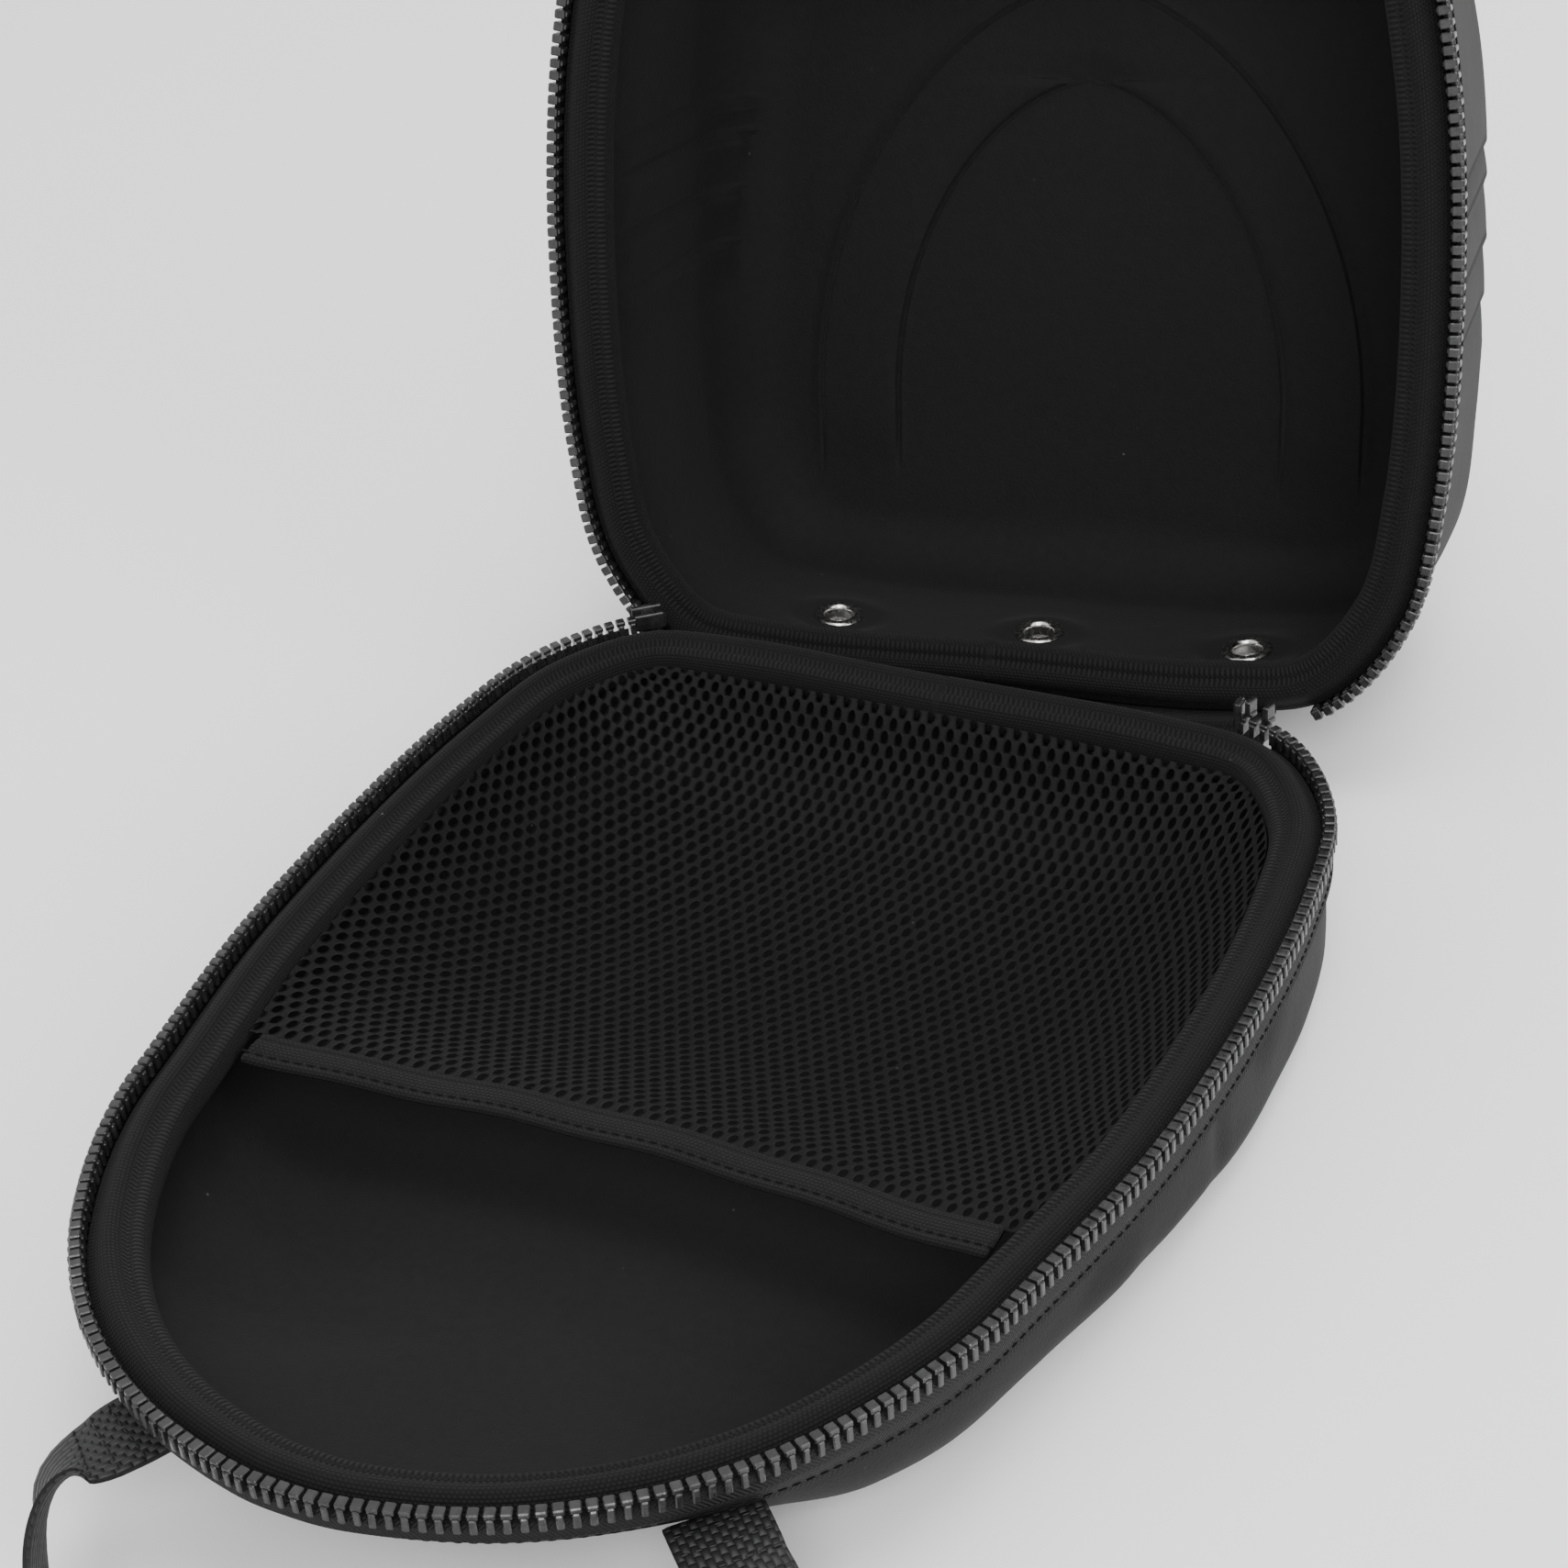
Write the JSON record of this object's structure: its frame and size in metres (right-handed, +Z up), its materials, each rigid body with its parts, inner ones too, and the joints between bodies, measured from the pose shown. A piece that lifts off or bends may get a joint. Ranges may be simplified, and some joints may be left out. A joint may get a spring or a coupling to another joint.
{
  "type": "zip clamshell case",
  "caption": "Moulded clamshell case with a pointed nose, zipped rim, net pocket, webbing handle and a hinged lid with eyelets.",
  "frame": {"origin": "on the base's flat underside, in the middle plane, half way between the hinge edge and the nose of the rim", "axes": "+Z up out of the base, -Y towards the nose, +X to the right seen from the nose; the lid is open at rest"},
  "size_m": [0.2473, 0.5221, 0.3219],
  "materials": {
    "moulded_shell": "black cloth moulded over foam",
    "woven_trim": "black woven polyester",
    "net": "black knitted net",
    "webbing": "black ribbed webbing",
    "tooth_plastic": "black satin",
    "eyelet_metal": "nickel plated"
  },
  "bodies": {
    "base": {"base_shell": "moulded_shell", "base_binding": "woven_trim", "base_zip_tape": "woven_trim", "base_zip_teeth": "tooth_plastic", "mesh_pocket": "net", "pocket_hem": "woven_trim", "hinge_band": "woven_trim", "carry_handle": "webbing", "zip_slider": "tooth_plastic"},
    "lid": {"lid_shell": "moulded_shell", "lid_binding": "woven_trim", "lid_zip_tape": "woven_trim", "lid_zip_teeth": "tooth_plastic", "eyelet_left": "eyelet_metal", "eyelet_middle": "eyelet_metal", "eyelet_right": "eyelet_metal"}
  },
  "joints": [
    {"name": "lid_hinge", "type": "hinge", "parent": "base", "child": "lid", "pos_m": [0, 0.1521, 0.027], "axis": [0.9949, 0.0782, -0.0639], "range_deg": [0, 101.8], "deforming": ["hinge_band"]}
  ]
}
